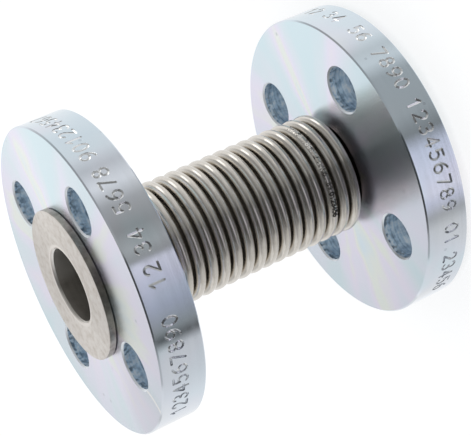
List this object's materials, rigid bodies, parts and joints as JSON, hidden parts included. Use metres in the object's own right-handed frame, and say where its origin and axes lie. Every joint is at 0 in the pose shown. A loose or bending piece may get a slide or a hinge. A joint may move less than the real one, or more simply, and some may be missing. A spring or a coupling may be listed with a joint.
{
  "type": "axial expansion joint",
  "caption": "Axial expansion joint: a corrugated steel bellows between two tube ends with flat collars, each with a loose plate flange that turns freely behind it.",
  "frame": {"origin": "centre of the lower collar's sealing face, at the middle of the base", "axes": "+Z along the pipe axis, from the lower collar to the upper one; the lower flange's bolt holes straddle X and Y"},
  "size_m": [0.095, 0.095, 0.1075],
  "materials": {
    "zinc_plated_steel": "bright zinc plate over turned steel",
    "collar_steel": "matt turned stainless steel",
    "tube_steel": "plain drawn stainless steel",
    "bellows_steel": "satin formed stainless steel",
    "weld_bead": "plain weld metal"
  },
  "bodies": {
    "lower_end": {"lower_collar": "collar_steel", "lower_tube": "tube_steel", "lower_collar_weld": "weld_bead", "lower_cuff_weld": "weld_bead", "bellows": "bellows_steel"},
    "upper_end": {"upper_collar": "collar_steel", "upper_tube": "tube_steel", "upper_collar_weld": "weld_bead", "upper_cuff_weld": "weld_bead"},
    "lower_flange": {"lower_flange": "zinc_plated_steel"},
    "upper_flange": {"upper_flange": "zinc_plated_steel"}
  },
  "joints": [
    {"name": "axial_travel", "type": "slide", "parent": "lower_end", "child": "upper_end", "axis": [0, 0, 1], "range_m": [-0.012, 0.012], "stiffness_N_per_m": 50000, "deforming": ["bellows"]},
    {"name": "lower_flange_turn", "type": "hinge", "parent": "lower_end", "child": "lower_flange", "pos_m": [0, 0, 0.0094], "axis": [0, 0, 1], "continuous": true},
    {"name": "upper_flange_turn", "type": "hinge", "parent": "upper_end", "child": "upper_flange", "pos_m": [0, 0, 0.0981], "axis": [0, 0, 1], "continuous": true}
  ]
}
